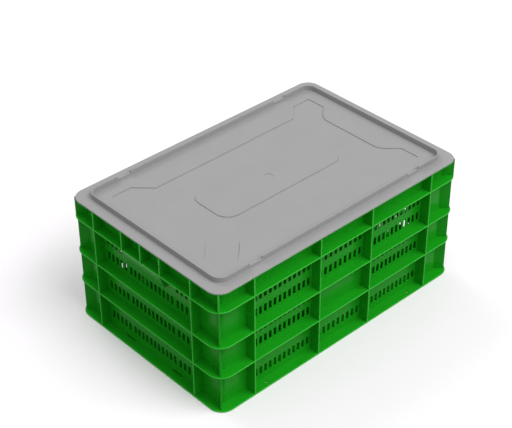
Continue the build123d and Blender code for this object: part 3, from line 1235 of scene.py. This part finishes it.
@dataclass
class Lid(Assembly):
    """The lift-off lid: sheet, sunken field, raised panel, stacking ridge and lip."""

    thickness: float = 2.5
    setback: float = 2.2
    edge: float = 1.0
    ridge_inset: float = 24.2
    ridge_thickness: float = 2.8
    ridge_height: float = 10.5
    ridge_radius: float = 20.0
    ridge_edge: float = 1.0
    ridge_cove: float = 0.3
    notch_offset: float = 193.0
    notch_width: float = 28.5
    notch_depth: float = 5.0
    notch_slope: float = 0.8
    field_depth: float = 1.6
    field_edge: float = 0.15
    field_corner: float = 3.0
    panel: tuple[float, float, float] = (292.0, 100.0, 28.0)
    panel_raise: float = 1.6
    gate_diameter: float = 18.0
    gate_depth: float = 0.8
    under_bevel: float = 0.3
    lip_clearance: float = 1.0
    lip_thickness: float = 2.0
    lip_height: float = 6.0
    lip_edge: float = 0.5
    lip_root: float = 0.2
    field_quarter: tuple[Point, ...] = (
        (213.0, 66.0),
        (220.0, 79.0),
        (244.5, 102.0),
        (244.5, 143.5),
        (203.0, 143.5),
        (171.0, 111.5),
    )

    @property
    def top(self) -> float:
        """Upper face of the sheet."""
        return self.sizes.height + self.thickness

    def _step(self, high: float, low: float) -> list[Point]:
        """Profile of a soft step down, outside first, as (grow, height) pairs."""
        over = [(run, high - rise) for run, rise in bend(self.field_edge)]
        return over + [(-rise, low + run) for run, rise in bend(self.field_edge)]

    def _field(self) -> Polygon:
        """Outline of the sunken field, mirrored from one quarter."""
        corners = [*self.field_quarter, *((-x, y) for x, y in reversed(self.field_quarter))]
        corners += [(-x, -y) for x, y in corners]
        return Polygon(tuple(corners)).softened(self.field_corner)

    def _sheet(self) -> None:
        """Build the sheet with its field and centre panel."""
        outline = self._field()
        base = self.sizes.height
        field_top = self.top - self.field_depth
        panel_top = field_top + self.panel_raise
        shell = Shell()
        low_ring, high_ring = shell.side(
            self.sizes.shelf_outline(self.setback), edge_profile(base, self.top, self.edge, 4)
        )
        rim, floor = shell.side(outline, self._step(self.top, field_top))
        foot, crest = shell.side(
            RoundedBox(*self.panel),
            [(-grow, z) for grow, z in reversed(self._step(panel_top, field_top))],
        )
        gate = RoundedBox(self.gate_diameter, self.gate_diameter, self.gate_diameter / 2, steps=8)
        dish_rim, dish = shell.side(gate, self._step(panel_top, panel_top - self.gate_depth))
        shell.cap(high_ring, rim)
        shell.cap(floor, foot)
        shell.cap(crest, dish_rim)
        shell.cap(dish)
        low, spread, bevel = field_top - self.thickness, self.thickness / 2, self.under_bevel
        under_rim, under_floor = shell.side(
            outline, [(spread, base), (spread, low + bevel), (spread - bevel, low)]
        )
        shell.cap(low_ring, under_rim)
        shell.cap(under_floor)
        mesh = shell.to_mesh("lid_plate")
        self.shop.piece("lid_plate", mesh, Body.LID, ["lid_sheet", "lid_centre_panel"])

    def _ridge_height(self, point: Point) -> float:
        """Find the height of the ridge's crest over a place: lower in the notches.

        Args:
            point: The place, seen from above.

        Returns:
            The height over the sheet.
        """
        beside = abs(abs(point[0]) - self.notch_offset) - self.notch_width / 2
        if abs(point[1]) < self.sizes.width / 4:
            return self.ridge_height
        return self.ridge_height - self.notch_depth * min(1.0, max(0.0, -beside / self.notch_slope))

    def _with_notch_stops(self, points: Sequence[Point]) -> list[Point]:
        """Add the places where the ridge steps down, along both long runs.

        Args:
            points: The ridge's outline.

        Returns:
            The outline with the added points.
        """
        half, slope = self.notch_width / 2, self.notch_slope
        stops = sorted(
            sign * self.notch_offset + offset
            for sign in (-1, 1)
            for offset in (-half, -half + slope, half - slope, half)
        )
        made: list[Point] = []
        for (x, y), (next_x, next_y) in zip(points, [*points[1:], points[0]]):
            made.append((x, y))
            if abs(next_x - x) > self.notch_width and abs(next_y - y) < WELD:
                made += [(stop, y) for stop in (stops if next_x > x else reversed(stops))]
        return made

    def _ridge(self) -> None:
        """Build the stacking ridge, its notches and the fillets at its feet."""
        length, width = (
            side - 2 * self.ridge_inset for side in (self.sizes.length, self.sizes.width)
        )
        box = RoundedBox(length, width, self.ridge_radius)
        crest, edge = self.ridge_height, self.ridge_edge
        outer = [(self.ridge_cove, -ROOT), *bend(self.ridge_cove, 4)]
        outer += [(-rise, crest - run) for run, rise in bend(edge)]
        inner = [(-self.ridge_thickness - grow, rise) for grow, rise in reversed(outer)]
        shell = Shell()
        rings = []
        for grow, rise in outer + inner:
            ring = []
            for point in self._with_notch_stops(box.points(grow)):
                drop = crest - self._ridge_height(point) if rise >= crest - 2 * edge else 0.0
                ring.append(shell.mesh.verts.new((*point, self.top + (rise - drop))))
            rings.append(ring)
        for first, second in zip(rings, rings[1:] + rings[:1]):
            shell.band(first, second)
        self.shop.piece("lid_ridge", shell.to_mesh("lid_ridge"), Body.LID, ["stacking_ridge"])

    def _lip(self) -> None:
        """Build the lip that locates the lid inside the walls."""
        sizes = self.sizes
        inside = sizes.wall_thickness + self.lip_clearance
        length, width = 2 * (sizes.wall_x - inside), 2 * (sizes.wall_y - inside)
        outer = [(-run, rise - self.lip_height) for run, rise in bend(self.lip_edge)]
        outer.append((0.0, self.lip_root))
        profile = [*reversed(outer), *((-self.lip_thickness - grow, rise) for grow, rise in outer)]
        shell = Shell()
        shell.hoop(
            RoundedBox(length, width, sizes.inner_radius - self.lip_clearance),
            [(grow, sizes.height + rise) for grow, rise in profile],
        )
        self.shop.piece("lid_lip", shell.to_mesh("lid_lip"), Body.LID, ["locating_lip"])

    def build(self) -> None:
        """Build the lid's pieces."""
        self._sheet()
        self._ridge()
        self._lip()


# --- the studio ----------------------------------------------------------------------


@dataclass
class Studio:
    """Floor, soft light and camera, in scene units unless a name says otherwise."""

    floor_size: float = 14.0
    floor_drop_mm: float = 0.2
    floor_tone: float = 0.98
    floor_green_part: float = 0.968
    floor_lift: float = 0.10
    bounce_tone: float = 0.30
    sky_strength: float = 0.39
    # Painted shadow: a dark green sheet under the crate, standing in for the shaded ground seen through
    # its slots.
    mat_inset_mm: float = 12.0
    mat_drop_mm: float = 0.1
    mat_colour: tuple[float, float, float, float] = (0.01, 0.04, 0.01, 1.0)
    camera_place: Triple = (-1.3858, -1.4659, 1.6197)
    camera_yaw: float = 42.749
    camera_pitch: float = 35.595
    camera_roll: float = -0.368
    camera_lens_mm: float = 94.78
    camera_sensor_mm: float = 36.0
    lamp_size: float = 6.0
    lamp_aim: Triple = (0.0, 0.0, 0.13)
    lamps: tuple[tuple[str, Triple, float], ...] = (
        ("front", (0.0, -7.5, 7.5), 231.0),
        ("front_steep", (1.5, -4.5, 9.0), 331.0),
        ("front_right", (5.5, -5.5, 6.5), 165.0),
        ("left", (-7.5, 0.0, 7.0), 44.0),
        ("back", (0.0, 7.5, 7.0), 261.0),
    )

    def _seen(self, maker: NodeMaker) -> Value:
        """One for rays from the camera, from gloss and through openings."""
        path = maker.add("ShaderNodeLightPath")
        total = maker.value(path, "Is Camera Ray") + maker.value(path, "Is Glossy Ray")
        return total + maker.value(path, "Is Transmission Ray")

    def _sheet(self, name: str, half: Point, drop: float) -> tuple[bpy.types.Object, NodeMaker]:
        """Lay a level sheet a little under the crate.

        Args:
            name: Name of the sheet.
            half: Half its length and width, in millimetres.
            drop: How far it lies under the crate, in millimetres.

        Returns:
            The sheet, and the maker of its still empty material.
        """
        shell = Shell()
        shell.mesh.faces.new(shell.ring([(sx * half[0], sy * half[1]) for sx, sy in QUARTERS], 0.0))
        sheet = bpy.data.objects.new(name, shell.to_mesh(name, weld=False))
        sheet.location.z = -drop * MM
        bpy.context.scene.collection.objects.link(sheet)
        material = bpy.data.materials.new(name)
        sheet.data.materials.append(material)
        return sheet, fresh_maker(material)

    def _floor(self) -> None:
        """Lay a plain pale floor, which bounces less light than it shows."""
        half = self.floor_size / MM / 2
        floor, maker = self._sheet("studio_floor", (half, half), self.floor_drop_mm)
        seen = self._seen(maker)
        shade = self.bounce_tone + (self.floor_tone - self.bounce_tone) * seen
        green = shade * self.floor_green_part
        tone = maker.add("ShaderNodeCombineColor", inputs={0: shade, 1: green, 2: shade})
        matt = maker.add("ShaderNodeBsdfDiffuse", inputs={"Color": tone.outputs[0]})
        lift = maker.add("ShaderNodeEmission", inputs={"Strength": seen * self.floor_lift})
        both = maker.add("ShaderNodeAddShader", inputs={0: matt.outputs[0], 1: lift.outputs[0]})
        maker.add("ShaderNodeOutputMaterial", inputs={"Surface": both.outputs[0]})

    def _mat(self) -> None:
        """Lay a dark sheet of painted shadow on the floor, hidden under the crate but seen through its
        slots.
        """
        half = (SIZES.length / 2 - self.mat_inset_mm, SIZES.width / 2 - self.mat_inset_mm)
        shade_sheet, maker = self._sheet("studio_mat", half, self.mat_drop_mm)
        # painted shadow colour
        matt = maker.add("ShaderNodeBsdfDiffuse", inputs={"Color": self.mat_colour})
        maker.add("ShaderNodeOutputMaterial", inputs={"Surface": matt.outputs[0]})

    def _world(self) -> None:
        """Light the scene evenly from all round, on a white background."""
        world = bpy.data.worlds.new("studio")
        maker = fresh_maker(world)
        strength = self.sky_strength + (1 - self.sky_strength) * self._seen(maker)
        sky = maker.add("ShaderNodeBackground", inputs={"Color": (1, 1, 1, 1), "Strength": strength})
        maker.add("ShaderNodeOutputWorld", inputs={"Surface": sky.outputs[0]})
        bpy.context.scene.world = world

    def _lamp(self, name: str, place: Triple, power: float) -> None:
        """Hang one soft lamp that faces the crate.

        Args:
            name: Name of the lamp.
            place: Where it hangs.
            power: Its power, in watts.
        """
        light = bpy.data.lights.new(name, "AREA")
        light.shape = "DISK"
        light.size = self.lamp_size
        light.energy = power
        lamp = bpy.data.objects.new(name, light)
        lamp.location = place
        aim = Vector(self.lamp_aim) - Vector(place)
        lamp.rotation_euler = aim.to_track_quat("-Z", "Y").to_euler()
        bpy.context.scene.collection.objects.link(lamp)

    def _camera(self) -> None:
        """Set up the camera."""
        yaw, pitch, roll = (
            math.radians(a) for a in (self.camera_yaw, self.camera_pitch, self.camera_roll)
        )
        ahead = Vector(
            (math.cos(pitch) * math.sin(yaw), math.cos(pitch) * math.cos(yaw), -math.sin(pitch))
        )
        right = Vector((math.cos(yaw), -math.sin(yaw), 0.0))
        up = right.cross(ahead)
        turned_right = right * math.cos(roll) + up * math.sin(roll)
        turned_up = up * math.cos(roll) - right * math.sin(roll)
        axes = Matrix((turned_right, turned_up, -ahead)).transposed().to_4x4()
        data = bpy.data.cameras.new("camera")
        data.lens = self.camera_lens_mm
        data.sensor_width = self.camera_sensor_mm
        data.sensor_fit = "HORIZONTAL"
        data.clip_end = 100.0
        camera = bpy.data.objects.new("camera", data)
        camera.matrix_world = Matrix.Translation(self.camera_place) @ axes
        bpy.context.scene.collection.objects.link(camera)
        bpy.context.scene.camera = camera

    def build(self) -> None:
        """Build the studio."""
        bpy.context.scene.view_settings.view_transform = "Standard"
        self._camera()
        self._world()
        self._floor()
        self._mat()
        for lamp in self.lamps:
            self._lamp(*lamp)


def main() -> None:
    """Build the studio, the crate and the lid."""
    logging.basicConfig(level=logging.INFO, format="%(name)s: %(message)s")
    Studio().build()
    shop = Workshop()
    for assembly in (SlottedWalls, Shelves, Ribs, HandHold, FloorGrid, Lid):
        LOG.info("building %s", assembly.__name__)
        assembly(SIZES, shop).build()


if __name__ == "__main__":
    main()
